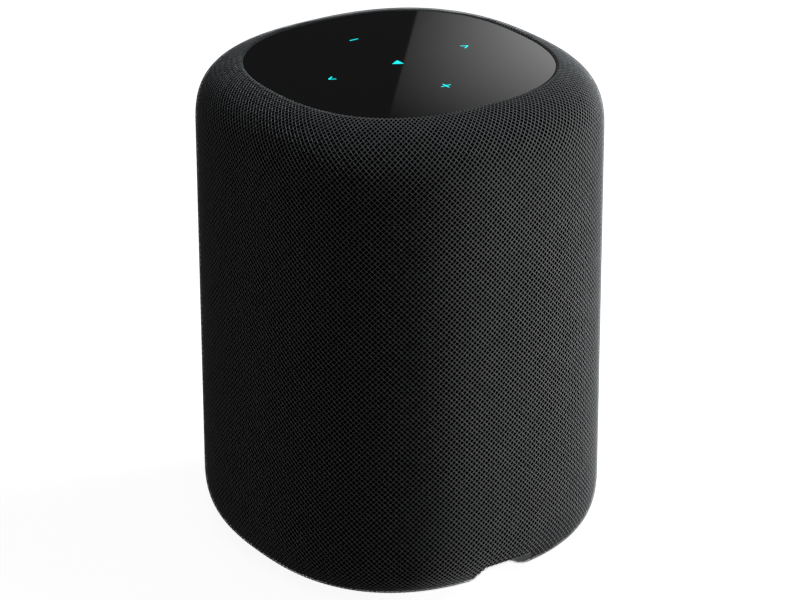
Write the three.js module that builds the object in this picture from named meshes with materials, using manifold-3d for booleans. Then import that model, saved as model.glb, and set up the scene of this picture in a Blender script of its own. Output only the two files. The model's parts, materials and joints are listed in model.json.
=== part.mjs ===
// Smart speaker: a tower with a rounded-square plan, wrapped in woven mesh, with a touch panel on top.
// Millimetres, +Z up. The front faces -Y and the mains inlet is at the rear, on +Y.
// The origin is the centre of the footprint, on the surface that the rubber foot stands on.
import * as THREE from 'three';
import { mergeVertices } from 'three/addons/utils/BufferGeometryUtils.js';
import Module from 'manifold-3d';

const wasm = await Module();
wasm.setup();

// Outer skin. The plan is a superellipse. The side is straight between two rounded corners.
const HALF_WIDTH = 70;
const PLAN_POWER = 2.45;
const SKIN_BOTTOM = 1;
const SKIN_TOP = 189.96;
const TOP_CORNER = { inner: 35, height: 26.1, power: 2.956, way: 1 };
const BOTTOM_CORNER = { inner: 38.2, height: 26.5, power: 2.834, way: -1 };
const GAP = 0.3;

// Woven sleeve and the cage that carries it.
const SLEEVE_THICKNESS = 1.6;
const CAGE_THICKNESS = 2.2;
const CAGE_SPLIT_Z = 95;
const TOP_HEM_R = 53.95;
const BOTTOM_HEM_R = 51;
const CAGE_WINDOWS = 12;

// Touch panel. Its legends lie on a circle round the play sign.
const PANEL_R = 53.6;
const PANEL_TOP = 188.1;
const PANEL_THICKNESS = 2;
const LEGEND_DISTANCE = 29.5;
const LEGEND_STROKE = 0.55;
const LEGEND_THICKNESS = 0.5;

// Cable port at the rear, a little to the left of the centre line as seen from the front.
const PORT_X = -2;
const PORT_WIDTH = 25;
const PORT_TOP = 12.5;
const PORT_CORNER = 4;
const PORT_INNER_Y = 51.3;
const TRIM_WALL = 1.2;

// Woofer, on the speaker's axis, facing up.
const BAFFLE_BOTTOM = 156.3;
const BAFFLE_THICKNESS = 3;
const FLANGE_TOP = 161.6;
const MAGNET_BOTTOM = 109.1;

const group = new THREE.Group();

const FABRIC = { color: 0x1c1f22, roughness: 0.85, metalness: 0 };
const BLACK_PLASTIC = { color: 0x141516, roughness: 0.6, metalness: 0 };
const GREY_PLASTIC = { color: 0x2c2e31, roughness: 0.6, metalness: 0 };
const TRIM_SILVER = { color: 0xa3a6a9, roughness: 0.4, metalness: 0.3 };
const PANEL_BLACK = { color: 0x08090a, roughness: 0.06, metalness: 0 };
const LEGEND_CYAN = { color: 0x10e0e0, roughness: 0.4, metalness: 0 };
const RUBBER = { color: 0x1a1a1a, roughness: 0.9, metalness: 0 };
const STEEL = { color: 0x9a9da1, roughness: 0.35, metalness: 0.9 };
const FERRITE = { color: 0x303236, roughness: 0.7, metalness: 0.1 };
const PAPER_CONE = { color: 0x1e1f20, roughness: 0.9, metalness: 0 };
const BOARD_GREEN = { color: 0x14482f, roughness: 0.5, metalness: 0 };
const ALUMINIUM = { color: 0xb4b8bc, roughness: 0.4, metalness: 0.9 };
const BRASS = { color: 0xb8923f, roughness: 0.35, metalness: 0.9 };

function addPart(name, geometry, look, parent = group) {
  const part = new THREE.Mesh(geometry, new THREE.MeshStandardMaterial(look));
  part.name = name;
  parent.add(part);
  return part;
}

// Plan radius of the superellipse in a direction, for a half width of 1.
function planFactor(x, y) {
  const length = Math.hypot(x, y);
  if (length < 1e-9) {
    return 1;
  }
  const sum = Math.abs(x / length) ** PLAN_POWER + Math.abs(y / length) ** PLAN_POWER;
  return sum ** (-1 / PLAN_POWER);
}

// Turns a closed profile of [radius, height] pairs round Z. Its direction is put right first.
function turned(profile, segments) {
  let area = 0;
  profile.forEach(([r, z], i) => {
    const [r2, z2] = profile[(i + 1) % profile.length];
    area += r * z2 - r2 * z;
  });
  const points = profile.map(([r, z]) => new THREE.Vector2(r, z));
  if (area < 0) {
    points.reverse();
  }
  const onAxis = points[0].x === 0 && points[points.length - 1].x === 0;
  if (!onAxis) {
    points.push(points[0].clone());
  }
  const geometry = new THREE.LatheGeometry(points, segments);
  geometry.rotateX(Math.PI / 2);
  return geometry;
}

// The same, with the rounded-square plan in place of a circle.
function squared(profile, segments) {
  const geometry = turned(profile, segments);
  const position = geometry.attributes.position;
  for (let i = 0; i < position.count; i += 1) {
    const x = position.getX(i);
    const y = position.getY(i);
    const factor = planFactor(x, y);
    position.setXY(i, x * factor, y * factor);
  }
  return geometry;
}

function box(x1, x2, y1, y2, z1, z2) {
  const geometry = new THREE.BoxGeometry(x2 - x1, y2 - y1, z2 - z1);
  geometry.translate((x1 + x2) / 2, (y1 + y2) / 2, (z1 + z2) / 2);
  return geometry;
}

function rod(x, y, z1, z2, radius, segments) {
  const geometry = new THREE.CylinderGeometry(radius, radius, z2 - z1, segments);
  geometry.rotateX(Math.PI / 2);
  geometry.translate(x, y, (z1 + z2) / 2);
  return geometry;
}

function solid(geometry) {
  const bare = geometry.clone();
  bare.deleteAttribute('normal');
  bare.deleteAttribute('uv');
  const merged = mergeVertices(bare, 1e-4);
  const index = Array.from(merged.index.array);
  const kept = [];
  for (let i = 0; i < index.length; i += 3) {
    const [a, b, c] = index.slice(i, i + 3);
    if (a !== b && b !== c && c !== a) {
      kept.push(a, b, c);
    }
  }
  const mesh = new wasm.Mesh({
    numProp: 3,
    vertProperties: new Float32Array(merged.attributes.position.array),
    triVerts: new Uint32Array(kept),
  });
  return new wasm.Manifold(mesh);
}

function fromSolid(result) {
  const mesh = result.getMesh();
  const geometry = new THREE.BufferGeometry();
  geometry.setAttribute('position', new THREE.BufferAttribute(mesh.vertProperties, 3));
  geometry.setIndex(new THREE.BufferAttribute(mesh.triVerts, 1));
  geometry.computeVertexNormals();
  return geometry;
}

function cut(geometry, tools) {
  const whole = tools.reduce((rest, tool) => rest.subtract(solid(tool)), solid(geometry));
  return fromSolid(whole);
}

function join(geometry, extras) {
  const whole = extras.reduce((rest, extra) => rest.add(solid(extra)), solid(geometry));
  return fromSolid(whole);
}

// Points of one rounded corner of the skin, from the straight side to a hem, moved inwards by inset.
// The hem's own end is upright, so that it clears what it meets there.
function cornerPoints(corner, hemR, steps, inset) {
  const reach = HALF_WIDTH - corner.inner;
  const hemAngle = Math.acos(((hemR - corner.inner) / reach) ** (corner.power / 2));
  const root = corner.way > 0 ? SKIN_TOP - corner.height : SKIN_BOTTOM + corner.height;
  const points = [];
  for (let i = 0; i <= steps; i += 1) {
    const angle = (hemAngle * i) / steps;
    const across = Math.cos(angle) ** (2 / corner.power);
    const along = Math.sin(angle) ** (2 / corner.power);
    const normal = new THREE.Vector2(
      Math.cos(angle) ** (2 - 2 / corner.power) / reach,
      Math.sin(angle) ** (2 - 2 / corner.power) / corner.height,
    ).normalize();
    points.push([
      Math.max(corner.inner + reach * across - inset * normal.x, hemR),
      root + corner.way * (corner.height * along - inset * normal.y),
    ]);
  }
  return points;
}

// A shell between two insets of the skin, from a bottom edge to a top edge.
function skinShell(bottomEdge, topEdge, outerInset, innerInset, segments) {
  const line = (inset) => [...bottomEdge(inset).reverse(), ...topEdge(inset)];
  return squared([...line(outerInset), ...line(innerInset).reverse()], segments);
}

// The port's outline with its round top corners, grown by a margin, as a bar along Y.
function portBar(margin, y1, y2, z1) {
  const half = PORT_WIDTH / 2 + margin;
  const top = PORT_TOP + margin;
  const radius = PORT_CORNER + margin;
  const shape = new THREE.Shape();
  shape.moveTo(-half, z1);
  shape.lineTo(half, z1);
  shape.lineTo(half, top - radius);
  shape.absarc(half - radius, top - radius, radius, 0, Math.PI / 2);
  shape.lineTo(radius - half, top);
  shape.absarc(radius - half, top - radius, radius, Math.PI / 2, Math.PI);
  shape.closePath();
  const geometry = new THREE.ExtrudeGeometry(shape, { depth: y2 - y1, bevelEnabled: false, curveSegments: 4 });
  geometry.rotateX(Math.PI / 2);
  geometry.translate(PORT_X, y2, 0);
  return geometry;
}

// Woven sleeve, with its opening for the cable port.
const sleeveShell = skinShell(
  (inset) => cornerPoints(BOTTOM_CORNER, BOTTOM_HEM_R, 6, inset),
  (inset) => cornerPoints(TOP_CORNER, TOP_HEM_R, 6, inset),
  0,
  SLEEVE_THICKNESS,
  48,
);
const sleevePort = portBar(TRIM_WALL + GAP, 45, 80, -5);
addPart('fabric_sleeve', cut(sleeveShell, [sleevePort]), FABRIC);

// Two cage halves under the sleeve, each with windows that let the sound out.
const CAGE_OUTER_INSET = SLEEVE_THICKNESS + GAP;
const CAGE_INNER_INSET = CAGE_OUTER_INSET + CAGE_THICKNESS;

function cageWindows(rows) {
  const windows = [];
  rows.forEach(([z1, z2]) => {
    for (let i = 0; i < CAGE_WINDOWS; i += 1) {
      const window = box(50, 90, -11, 11, z1, z2);
      window.rotateZ(((i + 0.5) * 2 * Math.PI) / CAGE_WINDOWS);
      windows.push(window);
    }
  });
  return windows;
}

const cageUpper = skinShell(
  (inset) => [[HALF_WIDTH - inset, CAGE_SPLIT_Z + GAP / 2]],
  (inset) => cornerPoints(TOP_CORNER, TOP_HEM_R + GAP, 5, inset),
  CAGE_OUTER_INSET,
  CAGE_INNER_INSET,
  36,
);
addPart('cage_upper', cut(cageUpper, cageWindows([[103, 168]])), BLACK_PLASTIC);

const cageLower = skinShell(
  (inset) => cornerPoints(BOTTOM_CORNER, BOTTOM_HEM_R + GAP, 5, inset),
  (inset) => [[HALF_WIDTH - inset, CAGE_SPLIT_Z - GAP / 2]],
  CAGE_OUTER_INSET,
  CAGE_INNER_INSET,
  36,
);
addPart('cage_lower', cut(cageLower, [...cageWindows([[28, 87]]), sleevePort]), BLACK_PLASTIC);

// Touch panel: black glass with shallow pockets for its lit legends.
function legendShape(points) {
  const shape = new THREE.Shape();
  points.forEach(([x, y], i) => {
    if (i === 0) {
      shape.moveTo(x, y);
    } else {
      shape.lineTo(x, y);
    }
  });
  shape.closePath();
  return shape;
}

function playPoints(margin) {
  const circle = 2.5 + 2 * margin;
  return [0, 1, 2].map((i) => {
    const angle = (i * 2 * Math.PI) / 3;
    return [circle * Math.cos(angle), circle * Math.sin(angle)];
  });
}

function minusPoints(margin) {
  const w = 1.9 + margin;
  const h = LEGEND_STROKE / 2 + margin;
  return [[-w, -h], [w, -h], [w, h], [-w, h]];
}

function plusPoints(margin) {
  const w = 2.05 + margin;
  const h = LEGEND_STROKE / 2 + margin;
  return [[-w, -h], [-h, -h], [-h, -w], [h, -w], [h, -h], [w, -h],
    [w, h], [h, h], [h, w], [-h, w], [-h, h], [-w, h]];
}

// A chevron that points along +X: two strokes that meet at the tip.
function chevronPoints(margin) {
  const tip = 0.9;
  const tail = -1.25;
  const spread = 1.4;
  const length = Math.hypot(tip - tail, spread);
  const half = LEGEND_STROKE / 2 + margin;
  const nx = (spread / length) * half;
  const ny = ((tip - tail) / length) * half;
  const alongX = ((tip - tail) / length) * margin;
  const alongY = (spread / length) * margin;
  const corner = (half * length) / spread;
  return [
    [tip + corner, 0],
    [tail + nx - alongX, spread + ny + alongY],
    [tail - nx - alongX, spread - ny + alongY],
    [tip - corner, 0],
    [tail - nx - alongX, -spread + ny - alongY],
    [tail + nx - alongX, -spread - ny - alongY],
  ];
}

const LEGENDS = [
  { name: 'legend_play', outline: playPoints, x: 0, y: 0, turn: 0 },
  { name: 'legend_plus', outline: plusPoints, x: 0, y: LEGEND_DISTANCE, turn: 0 },
  { name: 'legend_minus', outline: minusPoints, x: 0, y: -LEGEND_DISTANCE, turn: 0 },
  { name: 'legend_next', outline: chevronPoints, x: LEGEND_DISTANCE, y: 0, turn: 0 },
  { name: 'legend_previous', outline: chevronPoints, x: -LEGEND_DISTANCE, y: 0, turn: Math.PI },
];

function legendGeometry(legend, margin, z1, z2) {
  const shape = legendShape(legend.outline(margin));
  const geometry = new THREE.ExtrudeGeometry(shape, { depth: z2 - z1, bevelEnabled: false });
  geometry.rotateZ(legend.turn);
  geometry.translate(legend.x, legend.y, z1);
  return geometry;
}

const panelProfile = [
  [0, PANEL_TOP - PANEL_THICKNESS],
  [PANEL_R, PANEL_TOP - PANEL_THICKNESS],
  [PANEL_R, PANEL_TOP - 0.3],
  [PANEL_R - 0.3, PANEL_TOP],
  [0, PANEL_TOP],
];
const pocketFloor = PANEL_TOP - LEGEND_THICKNESS - GAP;
const pockets = LEGENDS.map((legend) => legendGeometry(legend, 0.2, pocketFloor, PANEL_TOP + 1));
addPart('touch_glass', cut(squared(panelProfile, 48), pockets), PANEL_BLACK);
LEGENDS.forEach((legend) => {
  const geometry = legendGeometry(legend, 0, PANEL_TOP - LEGEND_THICKNESS, PANEL_TOP);
  addPart(legend.name, geometry, LEGEND_CYAN);
});

// Light guide, touch board, legend lights and microphones under the glass.
addPart('light_guide', rod(0, 0, 184, 185.8, 38, 48), { color: 0xdde3e6, roughness: 0.3, metalness: 0 });
addPart('touch_board', rod(0, 0, 181, 182.6, 46, 48), BOARD_GREEN);
LEGENDS.forEach((legend, i) => {
  const light = box(legend.x - 1.5, legend.x + 1.5, legend.y - 1.5, legend.y + 1.5, 182.9, 183.7);
  addPart(`legend_light_${i + 1}`, light, { color: 0xe8e6da, roughness: 0.4, metalness: 0 });
});
for (let i = 0; i < 4; i += 1) {
  const microphone = box(40, 43.8, -1.5, 1.5, 182.9, 184.1);
  microphone.rotateZ(Math.PI / 4 + (i * Math.PI) / 2);
  addPart(`microphone_${i + 1}`, microphone, BRASS);
}

// Tray that carries the touch panel on its rim, with pillars for the board.
const trayProfile = [
  [0, 175.7],
  [63.2, 175.7],
  [63.2, 177.7],
  [53.2, 177.7],
  [53.2, 185.8],
  [51.2, 185.8],
  [51.2, 177.7],
  [0, 177.7],
];
const trayPillars = [0, 1, 2, 3].map((i) => {
  const angle = (i * Math.PI) / 2;
  return rod(36 * Math.cos(angle), 36 * Math.sin(angle), 177, 180.7, 3, 10);
});
addPart('top_tray', join(squared(trayProfile, 36), trayPillars), BLACK_PLASTIC);

// Sealed enclosure behind the woofer, and the baffle that closes it.
const enclosureProfile = [
  [0, 79.3],
  [60, 79.3],
  [63, 82.3],
  [63, 156],
  [60.5, 156],
  [60.5, 82],
  [0, 82],
];
addPart('speaker_enclosure', squared(enclosureProfile, 40), GREY_PLASTIC);

const WOOFER_SCREWS = [0, 1, 2, 3].map((i) => {
  const angle = Math.PI / 4 + (i * Math.PI) / 2;
  return { x: 51.3 * Math.cos(angle), y: 51.3 * Math.sin(angle) };
});
const screwHoles = (z1, z2) => WOOFER_SCREWS.map(({ x, y }) => rod(x, y, z1, z2, 1.7, 8));
const baffleTop = BAFFLE_BOTTOM + BAFFLE_THICKNESS;
const baffleProfile = [[47, BAFFLE_BOTTOM], [63, BAFFLE_BOTTOM], [63, baffleTop], [47, baffleTop]];
addPart('baffle_plate', cut(squared(baffleProfile, 40), screwHoles(150, 165)), GREY_PLASTIC);

// Woofer frame with openings in its cone.
const basketProfile = [
  [17, 131],
  [27, 131],
  [46.4, 158],
  [46.4, 159.6],
  [56, 159.6],
  [56, FLANGE_TOP],
  [44.6, FLANGE_TOP],
  [44.6, 158.5],
  [26.2, 133],
  [17, 133],
];
const basketOpenings = [];
for (let i = 0; i < 6; i += 1) {
  const opening = box(20, 60, -9, 9, 136, 153);
  opening.rotateZ((i * Math.PI) / 3);
  basketOpenings.push(opening);
}
addPart('woofer_basket', cut(turned(basketProfile, 36), [...basketOpenings, ...screwHoles(155, 165)]), STEEL);

// Magnet system: back plate with pole, ring magnet and top plate.
const yokeProfile = [
  [0, MAGNET_BOTTOM],
  [28, MAGNET_BOTTOM],
  [28, MAGNET_BOTTOM + 5],
  [12, MAGNET_BOTTOM + 5],
  [12, 130.7],
  [0, 130.7],
];
addPart('woofer_yoke', turned(yokeProfile, 36), STEEL);
addPart('woofer_magnet', turned([[17, 114.4], [30, 114.4], [30, 126.4], [17, 126.4]], 36), FERRITE);
addPart('woofer_top_plate', turned([[13.6, 126.7], [27, 126.7], [27, 130.7], [13.6, 130.7]], 36), STEEL);

// Moving parts of the woofer: voice coil, cone and dust cap, held by the spider and the surround.
addPart('woofer_voice_coil', turned([[12.5, 119.5], [13.1, 119.5], [13.1, 148.2], [12.5, 148.2]], 36), BRASS);
addPart('woofer_cone', turned([[13.5, 146], [37.9, 160.4], [37.9, FLANGE_TOP], [13.5, 147.3]], 40), PAPER_CONE);

const capOuter = [];
const capInner = [];
const capSteps = 4;
for (let i = 0; i < capSteps; i += 1) {
  const angle = (i * Math.PI) / (2 * capSteps);
  capOuter.push([16 * Math.cos(angle), 149.6 + 5 * Math.sin(angle)]);
  capInner.push([15.3 * Math.cos(angle), 149.2 + 4.6 * Math.sin(angle)]);
}
const dustCapProfile = [[0, 154.6], ...capOuter.reverse(), ...capInner, [0, 153.8]];
addPart('woofer_dust_cap', turned(dustCapProfile, 32), PAPER_CONE);

const surroundProfile = [[36, 161.9], [38.3, 161.9]];
const rollSteps = 4;
for (let i = 1; i < rollSteps; i += 1) {
  const angle = Math.PI - (i * Math.PI) / rollSteps;
  surroundProfile.push([41.3 + 2.6 * Math.cos(angle), 161.9 + 2.6 * Math.sin(angle)]);
}
surroundProfile.push([44.3, 161.9], [46.6, 161.9], [46.6, 162.4], [44.8, 162.4]);
for (let i = 1; i < rollSteps; i += 1) {
  const angle = (i * Math.PI) / rollSteps;
  surroundProfile.push([41.3 + 3.2 * Math.cos(angle), 162.4 + 3 * Math.sin(angle)]);
}
surroundProfile.push([37.8, 162.4], [36, 162.4]);
addPart('woofer_surround', turned(surroundProfile, 40), RUBBER);

const spiderLower = [];
const spiderUpper = [];
for (let i = 0; i <= 6; i += 1) {
  const r = 13.4 + (16.4 * i) / 6;
  const z = 139.5 + (i % 2 === 0 ? -0.8 : 0.8);
  spiderLower.push([r, z]);
  spiderUpper.push([r, z + 0.6]);
}
addPart('woofer_spider', turned([...spiderLower, ...spiderUpper.reverse()], 32), {
  color: 0xb59a5a,
  roughness: 0.9,
  metalness: 0,
});

// A pan-head screw along Z. The head is at the top, or at the bottom when flip is set.
function screw(x, y, headZ, headHeight, headR, shankR, shankEnd, segments) {
  const profile = [
    [0, headZ],
    [headR * 0.8, headZ],
    [headR, headZ + 0.3 * headHeight],
    [headR, headZ + headHeight],
    [shankR, headZ + headHeight],
    [shankR, shankEnd],
    [0, shankEnd],
  ];
  const geometry = turned(profile, segments);
  geometry.translate(x, y, 0);
  return geometry;
}
WOOFER_SCREWS.forEach(({ x, y }, i) => {
  const geometry = screw(x, y, 163.4, -1.5, 2.8, 1.4, 156.6, 8);
  addPart(`woofer_screw_${i + 1}`, geometry, STEEL);
});

// Tweeters that fire to the left and the right through the cage windows.
const tweeterBody = [
  [0, 38],
  [13, 38],
  [13, 58],
  [11.3, 58],
  [11.3, 54.4],
  [10, 54.4],
  [10, 50],
  [8.2, 50],
  [8.2, 52.6],
  [0, 52.6],
];
const tweeterDome = [
  [0, 58.1],
  [5, 57.5],
  [8.6, 55.9],
  [11, 55.9],
  [11, 55.2],
  [9.4, 55.2],
  [9.4, 51.2],
  [8.8, 51.2],
  [8.8, 55],
  [5, 56.8],
  [0, 57.4],
];
const TWEETER_Z = 58;
[
  { side: 'right', turn: Math.PI / 2 },
  { side: 'left', turn: -Math.PI / 2 },
].forEach(({ side, turn }) => {
  [
    ['body', tweeterBody, BLACK_PLASTIC],
    ['dome', tweeterDome, ALUMINIUM],
  ].forEach(([piece, profile, look]) => {
    const geometry = turned(profile, 28);
    geometry.rotateY(turn);
    geometry.translate(0, 0, TWEETER_Z);
    addPart(`tweeter_${side}_${piece}`, geometry, look);
  });
});

// Lower housing for the electronics, its lid, and the pillars of both boards.
const housingProfile = [
  [0, 5.3],
  [50, 5.3],
  [57, 11],
  [57, 76],
  [54.6, 76],
  [54.6, 12],
  [49, 7.8],
  [0, 7.8],
];
const MAIN_BOARD = { halfX: 34, halfY: 30, z: 41 };
const POWER_BOARD = { halfX: 34, y1: -28, y2: 28, z: 14 };
const pillars = [];
[-1, 1].forEach((sx) => {
  [-1, 1].forEach((sy) => {
    pillars.push(rod(sx * 30, sy * 34, 7, MAIN_BOARD.z - GAP, 3, 8));
    pillars.push(rod(sx * 30, sy * 18, 7, POWER_BOARD.z - GAP, 2.5, 8));
  });
});
const BASE_SCREWS = [0, 1, 2, 3].map((i) => {
  const angle = (i * Math.PI) / 2;
  return { x: 33 * Math.cos(angle), y: -4 + 27 * Math.sin(angle) };
});
const baseHoles = (radius, z1, z2) => BASE_SCREWS.map(({ x, y }) => rod(x, y, z1, z2, radius, 10));
const tweeterHole = new THREE.CylinderGeometry(13 + GAP, 13 + GAP, 140, 28);
tweeterHole.rotateZ(Math.PI / 2);
tweeterHole.translate(0, 0, TWEETER_Z);
const INLET_HALF = PORT_WIDTH / 2 - GAP;
const inletRoom = box(
  PORT_X - INLET_HALF - GAP,
  PORT_X + INLET_HALF + GAP,
  34 - GAP,
  90,
  -5,
  13.2 + GAP,
);
const housingCuts = [inletRoom, sleevePort, tweeterHole, ...baseHoles(1.9, 0, 10)];
const housing = join(squared(housingProfile, 36), pillars);
addPart('lower_housing', cut(housing, housingCuts), GREY_PLASTIC);
addPart('housing_lid', squared([[0, 76.3], [57, 76.3], [57, 79], [0, 79]], 32), GREY_PLASTIC);

// Electronics.
const mainBoard = box(-MAIN_BOARD.halfX, MAIN_BOARD.halfX, -38, 38, MAIN_BOARD.z, MAIN_BOARD.z + 1.6);
addPart('main_board', mainBoard, BOARD_GREEN);
const powerBoard = box(
  -POWER_BOARD.halfX,
  POWER_BOARD.halfX,
  POWER_BOARD.y1,
  POWER_BOARD.y2,
  POWER_BOARD.z,
  POWER_BOARD.z + 1.6,
);
addPart('power_board', powerBoard, BOARD_GREEN);
addPart('transformer', box(-26, 2, -20, 4, 15.9, 34), FERRITE);
addPart('smoothing_capacitor', rod(18, -10, 15.9, 37, 8, 16), { color: 0x23272d, roughness: 0.4, metalness: 0.1 });

const finShape = new THREE.Shape();
finShape.moveTo(-22, 0);
finShape.lineTo(22, 0);
for (let i = 0; i < 6; i += 1) {
  const x = 22 - i * 8;
  finShape.lineTo(x, 16);
  finShape.lineTo(x - 2, 16);
  if (i < 5) {
    finShape.lineTo(x - 2, 4);
    finShape.lineTo(x - 8, 4);
  }
}
finShape.lineTo(-22, 16);
finShape.closePath();
const heatSink = new THREE.ExtrudeGeometry(finShape, { depth: 44, bevelEnabled: false });
heatSink.rotateX(Math.PI / 2);
heatSink.translate(0, 22, MAIN_BOARD.z + 1.9);
addPart('heat_sink', heatSink, ALUMINIUM);

// Base plate, recessed rubber foot and screws.
const baseProfile = [
  [0, 1.5],
  [40.7, 1.5],
  [40.7, 2.9],
  [47.3, 2.9],
  [47.3, 1.5],
  [50.2, 1.5],
  [50.2, 5],
  [0, 5],
];
const inletRelief = box(PORT_X - 12.8, PORT_X + 12.8, 34 - GAP, 60, 2.9, 8);
const baseCuts = [inletRelief, ...baseHoles(1.9, 0, 8), ...baseHoles(3.1, 0, 3.6)];
addPart('base_plate', cut(squared(baseProfile, 36), baseCuts), BLACK_PLASTIC);
addPart('foot_ring', squared([[41, 0], [47, 0], [47, 2.6], [41, 2.6]], 36), RUBBER);
BASE_SCREWS.forEach(({ x, y }, i) => {
  addPart(`base_screw_${i + 1}`, screw(x, y, 1.9, 1.4, 2.8, 1.5, 7.5, 8), STEEL);
});

// Cable port: a silver liner that ends flush with the sleeve.
const portOuter = solid(portBar(TRIM_WALL, PORT_INNER_Y, 80, -5));
const portInner = solid(portBar(0, PORT_INNER_Y - 1, 81, -6));
const skinBody = squared(
  [
    [0, SKIN_BOTTOM - GAP],
    ...cornerPoints(BOTTOM_CORNER, BOTTOM_CORNER.inner + 1, 12, -GAP).reverse(),
    ...cornerPoints(TOP_CORNER, TOP_HEM_R, 2, -GAP),
    [0, SKIN_TOP],
  ],
  96,
);
addPart('port_trim', fromSolid(portOuter.subtract(portInner).intersect(solid(skinBody))), TRIM_SILVER);

// Two-pole mains inlet at the inner end of the port.
function inletRecess(y1, y2) {
  const radius = 4.1;
  const half = 8.2 - radius;
  const shape = new THREE.Shape();
  shape.moveTo(-half, -radius);
  shape.lineTo(half, -radius);
  shape.absarc(half, 0, radius, -Math.PI / 2, Math.PI / 2);
  shape.lineTo(-half, radius);
  shape.absarc(-half, 0, radius, Math.PI / 2, (3 * Math.PI) / 2);
  const geometry = new THREE.ExtrudeGeometry(shape, { depth: y2 - y1, bevelEnabled: false, curveSegments: 5 });
  geometry.rotateX(Math.PI / 2);
  geometry.translate(PORT_X, y2, 8.2);
  return geometry;
}
const inletBlock = box(PORT_X - INLET_HALF, PORT_X + INLET_HALF, 34, 51, 3.2, 13.2);
addPart('power_inlet', cut(inletBlock, [inletRecess(41, 60)]), BLACK_PLASTIC);
[-1, 1].forEach((side, i) => {
  const pin = new THREE.CylinderGeometry(1.18, 1.18, 7.7, 8);
  pin.translate(PORT_X + side * 4.35, 45.15, 8.2);
  addPart(`inlet_pin_${i + 1}`, pin, STEEL);
});

export default group;
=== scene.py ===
"""Smart speaker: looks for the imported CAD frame. Metres, row frame: front -Y, rear +Y, +Z up."""
import json
import math

import bpy
import numpy as np
from mathutils import Matrix, Vector


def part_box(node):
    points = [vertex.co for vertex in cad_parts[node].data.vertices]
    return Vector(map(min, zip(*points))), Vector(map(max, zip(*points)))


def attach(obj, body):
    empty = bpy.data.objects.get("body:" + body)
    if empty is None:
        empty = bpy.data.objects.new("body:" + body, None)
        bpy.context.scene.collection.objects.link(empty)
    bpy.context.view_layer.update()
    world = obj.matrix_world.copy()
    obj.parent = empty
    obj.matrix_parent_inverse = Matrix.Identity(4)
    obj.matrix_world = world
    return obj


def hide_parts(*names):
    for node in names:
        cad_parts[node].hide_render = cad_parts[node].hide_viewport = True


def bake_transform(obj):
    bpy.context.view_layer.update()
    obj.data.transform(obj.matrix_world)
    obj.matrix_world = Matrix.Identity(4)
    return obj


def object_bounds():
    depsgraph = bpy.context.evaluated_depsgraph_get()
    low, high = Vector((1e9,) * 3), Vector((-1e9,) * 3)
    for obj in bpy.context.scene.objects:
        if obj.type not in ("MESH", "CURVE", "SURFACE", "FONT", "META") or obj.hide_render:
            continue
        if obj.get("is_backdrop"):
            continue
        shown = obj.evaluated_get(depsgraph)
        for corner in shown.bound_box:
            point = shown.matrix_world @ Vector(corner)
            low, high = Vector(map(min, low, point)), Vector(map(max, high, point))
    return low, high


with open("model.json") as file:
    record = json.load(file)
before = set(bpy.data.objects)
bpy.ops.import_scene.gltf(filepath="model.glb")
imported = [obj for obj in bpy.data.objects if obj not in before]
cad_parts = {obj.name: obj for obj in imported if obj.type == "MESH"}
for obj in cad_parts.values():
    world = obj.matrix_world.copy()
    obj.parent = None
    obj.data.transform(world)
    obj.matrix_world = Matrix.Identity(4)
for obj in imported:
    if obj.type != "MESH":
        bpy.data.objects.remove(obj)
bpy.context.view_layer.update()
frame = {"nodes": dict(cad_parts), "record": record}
MM = 0.001
BODY = "speaker"

# ---------------------------------------------------------------- sizes, from the frame
sleeve_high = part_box("fabric_sleeve")[1]
glass_low, glass_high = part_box("touch_glass")
foot_low, foot_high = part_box("foot_ring")
trim_low, trim_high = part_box("port_trim")

HALF = sleeve_high.x  # half width across the flats
PLAN_POWER = 2.45  # superellipse of the plan
SKIN_BOTTOM = 1.0 * MM  # height at which the bottom corner would close
SKIN_TOP = 189.96 * MM
TOP_CORNER = (35.0 * MM, 26.1 * MM, 2.956, 1)  # inner radius, height, power, up or down
BOTTOM_CORNER = (38.2 * MM, 26.5 * MM, 2.834, -1)
TOP_HEM = 54.75 * MM  # where the mesh starts to roll in at the glass
BOTTOM_HEM = 51.5 * MM
HEM_ROLL = 0.75 * MM

CELLS_ROUND = 224  # diamond holes round the body
CELL_HEIGHT = 2.08 * MM
THREAD_HALF = 0.06 * MM  # half the thickness of a thread
# Warp climbs to the right and weft to the left. A float is half a thread's run over another, in cells.
WARP = {"way": 1, "width": 0.26 * MM, "rise": 0.13 * MM, "float": 0.19}
WEFT = {"way": -1, "width": 0.32 * MM, "rise": 0.10 * MM, "float": 0.10}
PINCH = 0.12  # width of a thread where it dips under another, as a share of its full width
WANDER = 0.04  # how far a thread wanders to either side, in cells
WEAVE_PROUD = 0.45 * MM  # how far the crowns of the threads stand out of the plain sleeve

PORT_X = (trim_low.x + trim_high.x) / 2
PORT_WALL = 1.2 * MM
PORT_HALF = (trim_high.x - trim_low.x) / 2 - PORT_WALL
PORT_TOP = trim_high.z - PORT_WALL
PORT_RADIUS = 4 * MM
PORT_EDGE = 0.12 * MM  # how far the cut edge of the mesh stays outside the port
PORT_INNER_Y = trim_low.y  # the back of the port


# ---------------------------------------------------------------- shape of the skin
def plan_factor(angle):
    c, s = np.abs(np.cos(angle)), np.abs(np.sin(angle))
    return (c**PLAN_POWER + s**PLAN_POWER) ** (-1 / PLAN_POWER)


def corner(spec, hem, steps):
    """Radii and heights of a rounded corner, from the straight side to its hem."""
    inner, height, power, way = spec
    reach = HALF - inner
    last = math.acos(((hem - inner) / reach) ** (power / 2))
    a = last * np.linspace(0, 1, steps) ** 1.5
    root = SKIN_TOP - height if way > 0 else SKIN_BOTTOM + height
    return inner + reach * np.cos(a) ** (2 / power), root + way * height * np.sin(a) ** (2 / power)


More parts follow.
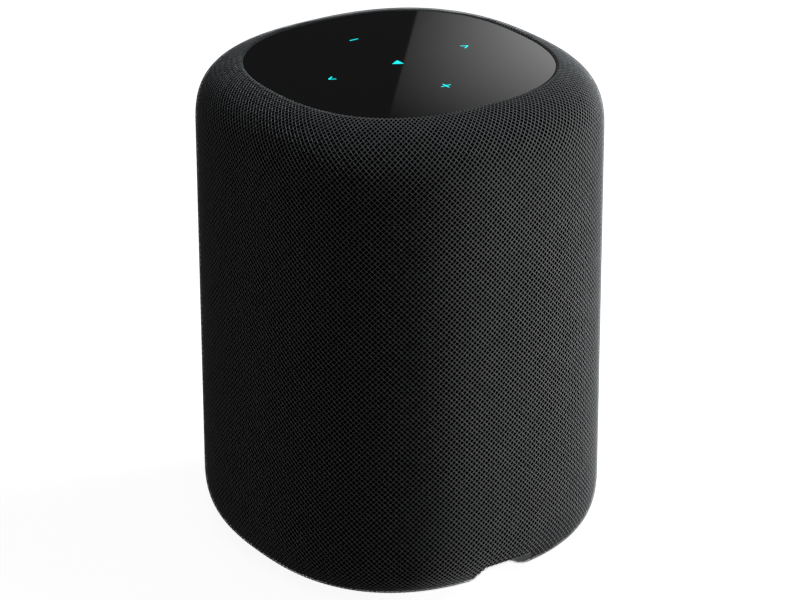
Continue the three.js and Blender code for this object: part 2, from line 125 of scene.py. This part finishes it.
def hem_roll(r, z, way, depth):
    """The short turn at a hem, from the skin into the gap beside the glass or the base."""
    a = np.linspace(0, math.pi / 2, 7)[1:]
    rr = r - HEM_ROLL * np.sin(a)
    zz = z - way * HEM_ROLL * (1 - np.cos(a))
    return np.append(rr, rr[-1]), np.append(zz, zz[-1] - way * depth)


def skin_profile():
    """The whole section of the sleeve, from the bottom hem to the top hem, evenly dense."""
    rb, zb = corner(BOTTOM_CORNER, BOTTOM_HEM, 160)
    rt, zt = corner(TOP_CORNER, TOP_HEM, 160)
    rbh, zbh = hem_roll(rb[-1], zb[-1], -1, 1.2 * MM)
    rth, zth = hem_roll(rt[-1], zt[-1], 1, 1.6 * MM)
    r = np.concatenate([rbh[::-1], rb[::-1], rt, rth])
    z = np.concatenate([zbh[::-1], zb[::-1], zt, zth])
    s = np.concatenate([[0], np.cumsum(np.hypot(np.diff(r), np.diff(z)))])
    return r, z, s


PROFILE_R, PROFILE_Z, PROFILE_S = skin_profile()
SKIN_LENGTH = PROFILE_S[-1]


def section(s, inset=0.0):
    """Radius and height at a distance s along the section, moved inwards by inset."""
    e = 0.15 * MM
    r, z = np.interp(s, PROFILE_S, PROFILE_R), np.interp(s, PROFILE_S, PROFILE_Z)
    ahead, behind = np.clip(s + e, 0, SKIN_LENGTH), np.clip(s - e, 0, SKIN_LENGTH)
    tr = np.interp(ahead, PROFILE_S, PROFILE_R) - np.interp(behind, PROFILE_S, PROFILE_R)
    tz = np.interp(ahead, PROFILE_S, PROFILE_Z) - np.interp(behind, PROFILE_S, PROFILE_Z)
    length = np.hypot(tr, tz)
    return r - inset * tz / length, z + inset * tr / length


def evenly_round(count):
    """Angles that cut the plan's outline into equal lengths, as a function of a share of a turn."""
    a = np.linspace(0, 2 * math.pi, 4 * count + 1)
    x, y = plan_factor(a) * np.cos(a), plan_factor(a) * np.sin(a)
    s = np.concatenate([[0], np.cumsum(np.hypot(np.diff(x), np.diff(y)))])
    return a, s / s[-1], s[-1]


TURN_ANGLES, TURN_SHARES, UNIT_GIRTH = evenly_round(720)


def round_angle(share):
    turns = np.floor(share)
    return np.interp(share - turns, TURN_SHARES, TURN_ANGLES) + 2 * math.pi * turns


def skin_point(share, s, inset=0.0):
    a = round_angle(share)
    r, z = section(s, inset)
    k = plan_factor(a) * r
    return np.stack([k * np.cos(a), k * np.sin(a), z], -1)


# ---------------------------------------------------------------- mesh helpers
def mesh_object(name, verts, faces, material, smooth=True, body=BODY, sharp=40):
    """A piece from points and faces, riding on its body. Edges sharper than an angle shade as edges."""
    mesh = bpy.data.meshes.new(name)
    verts = np.asarray(verts, np.float32).reshape(-1, 3)
    sizes = np.array([len(f) for f in faces], np.int32)
    if isinstance(faces, list):
        corners = np.concatenate([np.asarray(f, np.int32) for f in faces])
    else:
        corners = faces.ravel()
    mesh.vertices.add(len(verts))
    mesh.vertices.foreach_set("co", verts.ravel())
    mesh.loops.add(len(corners))
    mesh.loops.foreach_set("vertex_index", corners.astype(np.int32))
    mesh.polygons.add(len(sizes))
    mesh.polygons.foreach_set("loop_start", np.cumsum(sizes, dtype=np.int32) - sizes)
    mesh.polygons.foreach_set("loop_total", sizes)
    mesh.polygons.foreach_set("use_smooth", np.full(len(sizes), smooth))
    mesh.update(calc_edges=True)
    mesh.set_sharp_from_angle(angle=math.radians(sharp))
    piece = bpy.data.objects.new(name, mesh)
    bpy.context.collection.objects.link(piece)
    piece.data.materials.append(material)
    if body:
        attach(piece, body)
    return piece


def grid_faces(rows, columns, closed_rows=False, closed_columns=False):
    """Quads of a grid of points numbered row by row."""
    i = np.arange(rows if closed_rows else rows - 1)
    j = np.arange(columns if closed_columns else columns - 1)
    i, j = np.meshgrid(i, j, indexing="ij")
    i2, j2 = (i + 1) % rows, (j + 1) % columns
    here, there = i * columns, i2 * columns
    return np.stack([here + j, here + j2, there + j2, there + j], -1).reshape(-1, 4)


def squared_ring(profile, count=240):
    """Points and quads of a closed profile of (radius, height) swept round the rounded-square plan."""
    a = round_angle(np.arange(count) / count)
    k = plan_factor(a)
    p = np.array(profile, float)
    x = k[:, None] * np.cos(a)[:, None] * p[None, :, 0]
    y = k[:, None] * np.sin(a)[:, None] * p[None, :, 0]
    z = np.broadcast_to(p[None, :, 1], x.shape)
    return np.stack([x, y, z], -1).reshape(-1, 3), grid_faces(count, len(p), True, True)


def squared_disc(profile, count=240):
    """As squared_ring, for an open section whose two ends are closed by flat faces."""
    verts, faces = squared_ring(profile, count)
    n = len(profile)
    side = [f for f in faces.tolist() if {f[0] % n, f[1] % n} != {0, n - 1}]
    first = [i * n for i in range(count)]
    last = [i * n + n - 1 for i in reversed(range(count))]
    return verts, [*side, first, last]


def rounded(profile, radius, steps=4):
    """A closed profile with its corners rounded."""
    p = [np.array(q, float) for q in profile]
    out = []
    for i, here in enumerate(p):
        before, after = p[i - 1] - here, p[(i + 1) % len(p)] - here
        cut = min(radius, np.linalg.norm(before) * 0.45, np.linalg.norm(after) * 0.45)
        a = here + before / np.linalg.norm(before) * cut
        b = here + after / np.linalg.norm(after) * cut
        for t in np.linspace(0, 1, steps + 1):
            out.append((1 - t) ** 2 * a + 2 * t * (1 - t) * here + t**2 * b)
    return out


# ---------------------------------------------------------------- materials
class Nodes:
    """Short calls for building a material's node tree."""

    def __init__(self, name):
        self.material = bpy.data.materials.new(name)
        self.material.use_nodes = True
        self.tree = self.material.node_tree
        self.shader = self.tree.nodes["Principled BSDF"]
        self.place = self.tree.nodes.new("ShaderNodeTexCoord").outputs["Object"]

    def node(self, kind, inputs=(), **settings):
        n = self.tree.nodes.new(kind)
        for key, value in settings.items():
            setattr(n, key, value)
        for key, value in dict(inputs).items():
            self.feed(n.inputs[key], value)
        return n

    def feed(self, socket, value):
        if isinstance(value, bpy.types.NodeSocket):
            self.tree.links.new(value, socket)
        else:
            socket.default_value = value

    def noise(self, scale, detail=3.0, stretch=None, rough=0.55):
        place = self.place
        if stretch:
            place = self.node("ShaderNodeMapping", {"Vector": place, "Scale": stretch}).outputs[0]
        return self.node(
            "ShaderNodeTexNoise",
            {"Vector": place, "Scale": scale, "Detail": detail, "Roughness": rough},
        ).outputs["Fac"]

    def spread(self, value, low, high, at=(0.3, 0.7)):
        return self.node(
            "ShaderNodeMapRange",
            {"Value": value, "From Min": at[0], "From Max": at[1], "To Min": low, "To Max": high},
        ).outputs[0]

    def blend(self, factor, a, b):
        n = self.node("ShaderNodeMix", {"Factor": factor}, data_type="RGBA")
        self.feed(n.inputs[6], (*a, 1) if len(a) == 3 else a)
        self.feed(n.inputs[7], (*b, 1) if len(b) == 3 else b)
        return n.outputs[2]

    def bump(self, height, distance, strength=0.6, under=None):
        inputs = {"Height": height, "Distance": distance, "Strength": strength}
        if under is not None:
            inputs["Normal"] = under
        return self.node("ShaderNodeBump", inputs).outputs[0]

    def finish(self, **sockets):
        for key, value in sockets.items():
            self.feed(self.shader.inputs[key.replace("_", " ")], value)
        return self.material


def moulded(name, dark, light, roughness=(0.5, 0.68), grain=1400.0, depth=0.00004, **more):
    """Moulded plastic with a spark-eroded texture and slight mottling."""
    n = Nodes(name)
    patch = n.noise(60, 4)
    fine = n.noise(grain, 2)
    return n.finish(
        Base_Color=n.blend(n.spread(patch, 0, 1), dark, light),
        Roughness=n.spread(fine, *roughness),
        Normal=n.bump(fine, depth, 0.5),
        **more,
    )


def metal(name, dark, light, roughness=(0.22, 0.4), stretch=(1, 1, 12), scale=260.0, metallic=1.0):
    """Drawn or turned metal with fine directional marks."""
    n = Nodes(name)
    marks = n.noise(scale, 5, stretch)
    patch = n.noise(45, 3)
    return n.finish(
        Base_Color=n.blend(n.spread(patch, 0, 1), dark, light),
        Metallic=metallic,
        Roughness=n.spread(marks, *roughness),
        Normal=n.bump(marks, 0.00002, 0.35),
    )


def thread_material(name, dark, light, rough):
    n = Nodes(name)
    patch = n.noise(190, 3)
    return n.finish(
        Base_Color=n.blend(n.spread(patch, 0, 1), dark, light),
        Roughness=rough,
        Specular_IOR_Level=0.5,
    )


def circuit(name):
    """Green solder resist with faint copper tracks under it."""
    n = Nodes(name)
    brick = n.node(
        "ShaderNodeTexBrick",
        {
            "Vector": n.place,
            "Scale": 260.0,
            "Color1": (0.010, 0.085, 0.045, 1),
            "Color2": (0.016, 0.115, 0.062, 1),
            "Mortar": (0.024, 0.17, 0.088, 1),
            "Mortar Size": 0.06,
        },
    )
    fine = n.noise(900, 2)
    return n.finish(
        Base_Color=brick.outputs["Color"],
        Roughness=n.spread(fine, 0.28, 0.42),
        Normal=n.bump(brick.outputs["Fac"], 0.00003, 0.5),
    )


def glowing(name, colour, strength):
    n = Nodes(name)
    soft = n.noise(900, 2)
    return n.finish(
        Base_Color=n.blend(n.spread(soft, 0, 1), [c * 0.85 for c in colour], colour),
        Roughness=0.35,
        Emission_Color=(*colour, 1),
        Emission_Strength=strength,
    )


def pulp(name):
    """Pressed paper pulp with short fibres."""
    n = Nodes(name)
    fibre = n.noise(700, 6, (1, 1, 0.4), 0.7)
    return n.finish(
        Base_Color=n.blend(n.spread(fibre, 0, 1), (0.010, 0.010, 0.011), (0.028, 0.028, 0.029)),
        Roughness=n.spread(fibre, 0.75, 0.95),
        Normal=n.bump(fibre, 0.00012, 0.7),
    )


def panel_glass(name):
    """Polished black glass, with the faintest unevenness of its polish."""
    n = Nodes(name)
    polish = n.noise(9, 2)
    return n.finish(
        Base_Color=n.blend(n.spread(polish, 0, 1), (0.0015, 0.0015, 0.0017), (0.0022, 0.0022, 0.0024)),
        Roughness=n.spread(polish, 0.02, 0.035),
        IOR=1.5,
    )


MATERIALS = {
    # The sheet behind the weave is nearly black and has no shine: painted shade of the hollow inside, which
    # shows through the holes.
    "sleeve": moulded(
        "painted_shade_scrim",
        (0.001, 0.001, 0.0011),
        (0.002, 0.002, 0.0022),
        (0.85, 0.95),
        2200.0,
        0.00006,
        Specular_IOR_Level=0.0,
    ),
    "black_plastic": moulded("black_plastic", (0.010, 0.010, 0.011), (0.017, 0.017, 0.018)),
    "grey_plastic": moulded("grey_plastic", (0.035, 0.037, 0.040), (0.048, 0.050, 0.054)),
    "port_silver": moulded(
        "port_silver",
        (0.70, 0.705, 0.71),
        (0.78, 0.785, 0.79),
        (0.32, 0.45),
        1800.0,
        0.00002,
    ),
    "panel_glass": panel_glass("panel_glass"),
    "legend_cyan": glowing("legend_cyan", (0.0, 0.80, 0.80), 1.0),
    "light_guide": moulded("light_guide", (0.62, 0.66, 0.68), (0.70, 0.73, 0.75), (0.2, 0.3), 500.0, 0.00002),
    "rubber": moulded("rubber", (0.008, 0.008, 0.008), (0.016, 0.016, 0.016), (0.72, 0.9), 900.0, 0.00008),
    "steel": metal("steel", (0.42, 0.43, 0.45), (0.58, 0.59, 0.61)),
    "ferrite": moulded("ferrite", (0.022, 0.023, 0.026), (0.045, 0.046, 0.05), (0.6, 0.8), 500.0, 0.0001),
    "paper_cone": pulp("paper_cone"),
    "spider_cloth": moulded(
        "spider_cloth",
        (0.33, 0.22, 0.08),
        (0.46, 0.33, 0.14),
        (0.8, 0.95),
        800.0,
        0.00015,
    ),
    "circuit_board": circuit("circuit_board"),
    "aluminium": metal("aluminium", (0.58, 0.6, 0.62), (0.70, 0.72, 0.74), (0.28, 0.45), (1, 12, 1)),
    "brass": metal("brass", (0.50, 0.33, 0.10), (0.62, 0.44, 0.16), (0.2, 0.34)),
    "component_white": moulded(
        "component_white",
        (0.68, 0.67, 0.60),
        (0.78, 0.77, 0.71),
        (0.35, 0.5),
        600.0,
        0.00003,
    ),
    "capacitor_sleeve": moulded(
        "capacitor_sleeve",
        (0.012, 0.014, 0.022),
        (0.02, 0.023, 0.034),
        (0.25, 0.35),
        400.0,
        0.00003,
    ),
}
for entry in frame["record"]["subparts"]:
    node = frame["nodes"][entry["node"]]
    node.data.materials.clear()
    node.data.materials.append(MATERIALS[entry["material_slot"]])


# ---------------------------------------------------------------- woven sleeve
def port_inside(x, y, z, margin):
    """True for points inside the cable port's outline grown by a margin."""
    half, top, radius = PORT_HALF + margin, PORT_TOP + margin, PORT_RADIUS + margin
    dx, dz = np.abs(x - PORT_X), z
    inside = (y > 0) & (dx < half) & (dz < top)
    in_corner = (dx > half - radius) & (dz > top - radius)
    return inside & ~(in_corner & (np.hypot(dx - half + radius, dz - top + radius) > radius))


def threads(name, family, first, last, material):
    """Threads first to last of one family. Each passes over and under the other family in turn."""
    way = family["way"]
    cells = np.arange(-1, int(SKIN_LENGTH / CELL_HEIGHT) + 1)
    dip, crown = (0.0, 0.5) if way > 0 else (0.5, 1.0)
    half_run = family["float"]
    stations = np.array([dip, crown - half_run, crown, crown + half_run])
    v = (cells[:, None] + stations[None, :]).ravel()
    level = np.tile([-1.0, 0.7, 1.0, 0.7], len(cells)) * family["rise"]
    width = np.tile([PINCH, 0.88, 1.0, 0.88], len(cells)) * family["width"]
    on = (v >= 0) & (v * CELL_HEIGHT <= SKIN_LENGTH)
    v, level, width = v[on], level[on], width[on]
    k = np.arange(first, last)
    wander = np.random.default_rng(first * 2 + way + 1).uniform((0.02, 0), (0.06, 1), (len(k), 2))
    share = (k[:, None] + way * v[None, :]) / CELLS_ROUND
    s = np.broadcast_to(v[None, :] * CELL_HEIGHT, share.shape)
    share = share + WANDER * np.sin(2 * math.pi * (v[None, :] * wander[:, :1] + wander[:, 1:2])) / CELLS_ROUND
    inset = 2 * THREAD_HALF - WEAVE_PROUD - np.broadcast_to(level[None, :], share.shape)
    centre = skin_point(share, s, inset)
    normal = skin_point(share, s, inset - 0.1 * MM) - centre
    normal /= np.linalg.norm(normal, axis=-1, keepdims=True)
    along = np.gradient(centre, axis=1)
    across = np.cross(along, normal)
    across /= np.linalg.norm(across, axis=-1, keepdims=True)
    angle = np.radians([0, 60, 120, 180])
    points = (
        centre[:, :, None]
        + across[:, :, None] * (width[:, None] / 2 * np.cos(angle))[None, :, :, None]
        + normal[:, :, None] * (THREAD_HALF * (2 * np.sin(angle) - 1))[None, None, :, None]
    )
    count, steps, around = points.shape[:3]
    one = grid_faces(steps, around)[:, ::-1]
    faces = (one[None] + (np.arange(count) * steps * around)[:, None, None]).reshape(-1, 4)
    points = points.reshape(-1, 3)
    middle = points[faces].mean(1)
    keep = ~port_inside(middle[:, 0], middle[:, 1], middle[:, 2], PORT_EDGE)
    return mesh_object(name, points, faces[keep], material, sharp=180)


thread = thread_material("mesh_thread", (0.325, 0.33, 0.335), (0.385, 0.39, 0.395), 0.33)
GROUPS = 4
for i in range(GROUPS):
    ends = CELLS_ROUND * i // GROUPS, CELLS_ROUND * (i + 1) // GROUPS
    threads(f"mesh_warp_{i + 1}", WARP, *ends, thread)
    threads(f"mesh_weft_{i + 1}", WEFT, *ends, thread)

# A sheet just inside the weave, in the near-black painted-shade material, so that the holes read as the shade
# inside the speaker.
LINER_INSET = 0.1 * MM
columns, rows = 360, 120
share, s = np.meshgrid(np.arange(columns) / columns, np.linspace(0, SKIN_LENGTH, rows), indexing="ij")
liner_points = skin_point(share, s, LINER_INSET).reshape(-1, 3)
liner_faces = grid_faces(columns, rows, True)
middle = liner_points[liner_faces].mean(1)
keep = ~port_inside(middle[:, 0], middle[:, 1], middle[:, 2], PORT_EDGE)
liner = mesh_object("sleeve_shade_backing", liner_points, liner_faces[keep], MATERIALS["sleeve"])
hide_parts("fabric_sleeve")

# ---------------------------------------------------------------- touch panel
panel_r = glass_high.x
top = glass_high.z
edge = 0.15 * MM
turn = np.linspace(math.pi / 2, 0, 6)
rim = [(panel_r - edge + edge * math.cos(t), top - edge + edge * math.sin(t)) for t in turn]
profile = [(panel_r - edge - 0.1 * MM, top), *rim, (panel_r, glass_low.z), (panel_r - 1 * MM, glass_low.z)]
panel = mesh_object("touch_panel", *squared_disc(profile[::-1]), MATERIALS["panel_glass"])
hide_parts("touch_glass")

# ---------------------------------------------------------------- lit legends on the panel
LEGEND_STROKE = 0.55 * MM
LEGEND_PROUD = 0.03 * MM
PLAY_RADIUS = 2.5  # in millimetres, as is the next
PLAY_ROUND = 0.25


def stroke(x1, y1, x2, y2):
    """A straight stroke with round ends, as a closed outline in millimetres."""
    turn = math.atan2(y2 - y1, x2 - x1)
    half = LEGEND_STROKE / MM / 2
    ends = [(x2, y2, turn - math.pi / 2), (x1, y1, turn + math.pi / 2)]
    return [
        (x + half * math.cos(start + t), y + half * math.sin(start + t))
        for x, y, start in ends
        for t in np.linspace(0, math.pi, 9)
    ]


def play_outline():
    """A triangle with rounded corners that points to +X."""
    turns = (0, 2 * math.pi / 3, 4 * math.pi / 3)
    corners = [(PLAY_RADIUS * math.cos(t), PLAY_RADIUS * math.sin(t)) for t in turns]
    return rounded(corners, PLAY_ROUND)


def sign(name, node, outlines):
    """A lit sign of one or more outlines, standing a hair proud of the glass at its CAD node's place."""
    box_low, box_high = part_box(node)
    centre = (box_low + box_high) / 2
    verts, faces = [], []
    for outline in outlines:
        ring = [(centre.x + x * MM, centre.y + y * MM) for x, y in outline]
        n, start = len(ring), len(verts)
        verts += [(x, y, top - 0.4 * MM) for x, y in ring] + [(x, y, top + LEGEND_PROUD) for x, y in ring]
        faces += [[start + i, start + (i + 1) % n, start + n + (i + 1) % n, start + n + i] for i in range(n)]
        faces += [list(range(start + n - 1, start - 1, -1)), list(range(start + n, start + 2 * n))]
    piece = mesh_object(name, verts, faces, MATERIALS["legend_cyan"])
    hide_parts(node)
    return piece


# In millimetres, to the centres of the strokes' round ends.
PLUS_ARM = 1.78
MINUS_ARM = 1.63
CHEVRON_HALF = 1.0
CHEVRON_ARM = 1.3
sign("sign_play", "legend_play", [play_outline()])
sign("sign_plus", "legend_plus", [stroke(-PLUS_ARM, 0, PLUS_ARM, 0), stroke(0, -PLUS_ARM, 0, PLUS_ARM)])
sign("sign_minus", "legend_minus", [stroke(-MINUS_ARM, 0, MINUS_ARM, 0)])
for side, word in ((1, "next"), (-1, "previous")):
    tip = side * CHEVRON_HALF
    arms = [stroke(tip, 0, -tip, y) for y in (CHEVRON_ARM, -CHEVRON_ARM)]
    sign(f"sign_{word}", f"legend_{word}", arms)

# ---------------------------------------------------------------- liner of the cable port
LINER_WALL = 0.8 * MM
LINER_SET_BACK = 0.25 * MM  # of its outer edge behind the plain sleeve
lower_r, lower_z = section(np.linspace(2 * HEM_ROLL, SKIN_LENGTH / 3, 400), LINER_SET_BACK)


def port_arch(grow):
    """The port's outline grown by a margin, as x and z, from one foot over the top to the other."""
    half, high, radius = PORT_HALF + grow, PORT_TOP + grow, PORT_RADIUS + grow
    reach = ((half + abs(PORT_X)) ** PLAN_POWER + PORT_INNER_Y**PLAN_POWER) ** (1 / PLAN_POWER)
    foot = np.interp(reach, lower_r, lower_z)
    post = [(-half, z) for z in np.linspace(foot, high - radius, 12)[:-1]]
    turn = np.linspace(math.pi, math.pi / 2, 13)
    bend = [(radius - half + radius * math.cos(t), high - radius + radius * math.sin(t)) for t in turn]
    left = post + bend
    whole = np.array(left + [(-x, z) for x, z in reversed(left)])
    return whole[:, 0] + PORT_X, whole[:, 1]


rings = []
for grow in (0.0, LINER_WALL):
    x, z = port_arch(grow)
    r = np.interp(z, lower_z, lower_r)
    edge_y = (r**PLAN_POWER - np.abs(x) ** PLAN_POWER) ** (1 / PLAN_POWER)
    rings.append((np.stack([x, np.full_like(x, PORT_INNER_Y), z], -1), np.stack([x, edge_y, z], -1)))
(inner_back, inner_edge), (outer_back, outer_edge) = rings
loops = np.stack([inner_back, inner_edge, outer_edge, outer_back], 1)
count = len(loops)
liner_sides = grid_faces(count, 4, False, True).tolist()
port_faces = [*liner_sides, [0, 1, 2, 3], [4 * count - 1, 4 * count - 2, 4 * count - 3, 4 * count - 4]]
port_liner = mesh_object("port_liner", loops.reshape(-1, 3), port_faces, MATERIALS["port_silver"])
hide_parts("port_trim")

# ---------------------------------------------------------------- surround and spider of the woofer
ROLL_STEPS = 14
SKIRT = 0.5 * MM  # thickness of the surround's flat edges
LIP_OVERLAP = 1.9 * MM  # of the surround over the cone's edge
LIP_WIDTH = 2.3 * MM  # of the flat edges inside and outside the roll
ROLL_GAP = 0.4 * MM  # between a flat edge and the start of the roll
ROLL_WALL = 0.2 * MM  # by which the top of the roll is wider than its underside's start
SPIDER_WAVES = 3
SPIDER_THICKNESS = 0.6 * MM
SPIDER_STEPS = 48
SPIDER_GAP = 0.3 * MM  # round the voice coil


def turned(profile, count=96):
    """Points and quads of a closed profile of (radius, height) turned about Z."""
    a = 2 * math.pi * np.arange(count) / count
    p = np.array(profile, float)
    x = np.cos(a)[:, None] * p[None, :, 0]
    y = np.sin(a)[:, None] * p[None, :, 0]
    z = np.broadcast_to(p[None, :, 1], x.shape)
    return np.stack([x, y, z], -1).reshape(-1, 3), grid_faces(count, len(p), True, True)


def flex(obj):
    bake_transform(obj)
    points = np.empty(len(obj.data.vertices) * 3, np.float32)
    obj.data.vertices.foreach_get("co", points)


low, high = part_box("woofer_surround")
lip_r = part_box("woofer_cone")[1].x - LIP_OVERLAP
roll_start, roll_end = lip_r + LIP_WIDTH, high.x - LIP_WIDTH
roll_middle, roll_half = (roll_start + roll_end) / 2, (roll_end - roll_start) / 2
rise = high.z - low.z - SKIRT
turns = np.linspace(0, math.pi, ROLL_STEPS + 1)[1:-1]
under = [
    (roll_middle - (roll_half - ROLL_GAP) * math.cos(t), low.z + (rise - ROLL_GAP) * math.sin(t))
    for t in turns
]
above = [
    (roll_middle + (roll_half + ROLL_WALL) * math.cos(t), low.z + SKIRT + rise * math.sin(t))
    for t in turns
]
surround_profile = [(lip_r, low.z), (roll_start, low.z), *under, (roll_end, low.z), (high.x, low.z)]
surround_profile += [(high.x, low.z + SKIRT), (roll_end + ROLL_GAP, low.z + SKIRT), *above]
surround_profile += [(roll_start - ROLL_GAP, low.z + SKIRT), (lip_r, low.z + SKIRT)]
surround = mesh_object("surround_roll", *turned(surround_profile), MATERIALS["rubber"], body=None)
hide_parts("woofer_surround")
flex(surround)

low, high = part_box("woofer_spider")
share = np.linspace(0, 1, SPIDER_STEPS)
inner_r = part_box("woofer_voice_coil")[1].x + SPIDER_GAP
spider_r = inner_r + (high.x - inner_r) * share
wave = (high.z - low.z - SPIDER_THICKNESS) * (0.5 - 0.5 * np.cos(2 * math.pi * SPIDER_WAVES * share))
lower = list(zip(spider_r, low.z + wave))
upper = list(zip(spider_r, low.z + wave + SPIDER_THICKNESS))
spider = mesh_object("spider_disc", *turned(lower + upper[::-1]), MATERIALS["spider_cloth"], body=None)
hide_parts("woofer_spider")
flex(spider)

# ---------------------------------------------------------------- foot
FOOT_WIDTH = 6 * MM
FOOT_ROUND = 0.6 * MM
foot_inner = foot_high.x - FOOT_WIDTH
foot_profile = rounded(
    [
        (foot_inner, foot_low.z),
        (foot_high.x, foot_low.z),
        (foot_high.x, foot_high.z),
        (foot_inner, foot_high.z),
    ],
    FOOT_ROUND,
)
foot = mesh_object("foot_pad", *squared_ring(foot_profile), MATERIALS["rubber"])
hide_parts("foot_ring")


# ---------------------------------------------------------------- camera
AZIMUTH, ELEVATION, DISTANCE = math.radians(55.56), math.radians(23.814), 1361.84 * MM
aim = Vector((0, 0, (SKIN_TOP + SKIN_BOTTOM) / 2))
level = math.cos(ELEVATION)
back = Vector((level * math.cos(AZIMUTH), level * math.sin(AZIMUTH), math.sin(ELEVATION)))
right = Vector((0, 0, 1)).cross(back).normalized()
up = back.cross(right)
roll = math.radians(-0.18)
right, up = right * math.cos(roll) + up * math.sin(roll), up * math.cos(roll) - right * math.sin(roll)
camera = bpy.data.objects.new("camera", bpy.data.cameras.new("camera"))
bpy.context.collection.objects.link(camera)
turned_to = Matrix((right, up, back)).transposed().to_4x4()
camera.matrix_world = Matrix.Translation(aim + back * DISTANCE) @ turned_to
camera.data.sensor_width = 36
camera.data.lens = 164.15
camera.data.shift_x = 0.0002
camera.data.shift_y = -0.0054
camera.data.clip_start, camera.data.clip_end = 0.05, 50
bpy.context.scene.camera = camera


# ---------------------------------------------------------------- stage and lights
def area_light(name, place, target, size, power, colour=(1, 1, 1)):
    light = bpy.data.lights.new(name, "AREA")
    light.shape = "RECTANGLE"
    light.size, light.size_y = size
    light.energy = power
    light.color = colour
    lamp = bpy.data.objects.new(name, light)
    bpy.context.collection.objects.link(lamp)
    direction = Vector(target) - Vector(place)
    lamp.rotation_mode = "QUATERNION"
    lamp.rotation_quaternion = direction.to_track_quat("-Z", "Y")
    lamp.location = place
    return lamp


def seen(angle, elevation, distance):
    """A place given by its bearing from the view's left (-) or right (+), as seen from the object."""
    a = AZIMUTH + math.radians(angle)
    e = math.radians(elevation)
    return Vector((math.cos(a) * math.cos(e), math.sin(a) * math.cos(e), math.sin(e))) * distance + aim


floor_nodes = Nodes("floor")
grain = floor_nodes.noise(6, 3)
floor_material = floor_nodes.finish(
    Base_Color=floor_nodes.blend(grain, (0.87, 0.87, 0.87), (0.89, 0.89, 0.89)),
    Roughness=0.9,
    Emission_Color=(1, 1, 1, 1),
    Emission_Strength=0.92,
)
floor_corners = [[-6, -6, 0], [6, -6, 0], [6, 6, 0], [-6, 6, 0]]
floor = mesh_object("floor", floor_corners, [[0, 1, 2, 3]], floor_material, False, None)
floor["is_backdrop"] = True
floor.visible_diffuse = False
floor.visible_glossy = False
floor.visible_shadow = False  # the strip stands lower than the floor, as under a clear table

world = bpy.data.worlds.new("studio")
world.use_nodes = True
world.node_tree.nodes["Background"].inputs["Color"].default_value = (0.042, 0.042, 0.044, 1)
bpy.context.scene.world = world

# Each light is an area light, placed by its bearing from the view.
area_light("rim_strip", seen(105, -12, 1.4), aim, (0.4, 0.9), 19.3)
area_light("side_strip", seen(75, 0, 1.4), aim, (0.4, 0.9), 1.0)
area_light("side_top", seen(95, 50, 1.4), aim, (0.5, 0.8), 7.6, (0.88, 0.96, 1.0))
area_light("front_fill", seen(0, 50, 1.4), aim, (0.5, 0.8), 0.85)

# A soft box behind the object. The panel mirrors it, with its slanting left edge across the middle.
BOX_DISTANCE = 0.9
BOX_WIDTH = 240  # in millimetres, as are the others
BOX_REACH = 150  # above and below its middle
BOX_STEPS = 61
EDGE_OFFSET = 2.9
EDGE_SLANT = 0.275
RAMP_START = 0.40  # the square root of the glow at the left edge, and how it changes
RAMP_ACROSS = 0.0072
RAMP_UP = 0.0008
RAMP_TWIST = 0.000077
RAMP_CURVE = 0.0001
RAMP_RANGE = (-45, 50)
RAMP_MOST = 1.25
eye = aim + back * DISTANCE
eye_below = Vector((eye.x, eye.y, 2 * top - eye.z))
middle_of_panel = Vector((0, 0, top))
away = (middle_of_panel - eye_below).normalized()
box_centre = middle_of_panel + away * BOX_DISTANCE
box_right = away.cross(Vector((0, 0, 1))).normalized()
box_up = box_right.cross(away)
along_width = np.linspace(0, BOX_WIDTH, BOX_STEPS)
along_height = np.linspace(-BOX_REACH, BOX_REACH, BOX_STEPS)
across, rise = np.meshgrid(along_width, along_height, indexing="ij")
across = across + EDGE_OFFSET - EDGE_SLANT * rise
near = np.clip(rise, *RAMP_RANGE)
ramp = RAMP_START + RAMP_ACROSS * across - RAMP_UP * near - RAMP_TWIST * across * near - RAMP_CURVE * near**2
ramp = np.clip(ramp, 0, RAMP_MOST)
card_points = [
    box_centre + box_right * (x * MM) + box_up * (y * MM) for x, y in zip(across.ravel(), rise.ravel())
]
card_nodes = Nodes("soft_box")
glow = card_nodes.node("ShaderNodeAttribute", attribute_name="glow").outputs["Fac"]
card_material = card_nodes.finish(
    Base_Color=(0, 0, 0, 1),
    Roughness=1.0,
    Specular_IOR_Level=0.0,
    Emission_Color=(1, 1, 1, 1),
    Emission_Strength=glow,
)
card_faces = grid_faces(BOX_STEPS, BOX_STEPS)
card = mesh_object("soft_box", [list(p) for p in card_points], card_faces, card_material, False, None)
card_glow = card.data.attributes.new("glow", "FLOAT", "POINT")
card_glow.data.foreach_set("value", (ramp**2).ravel().astype(np.float32))
card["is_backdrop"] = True
card.visible_camera = False
card.visible_diffuse = False
card.visible_shadow = False

scene = bpy.context.scene
scene.view_settings.view_transform = "Standard"
scene.view_settings.look = "None"

low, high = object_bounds()
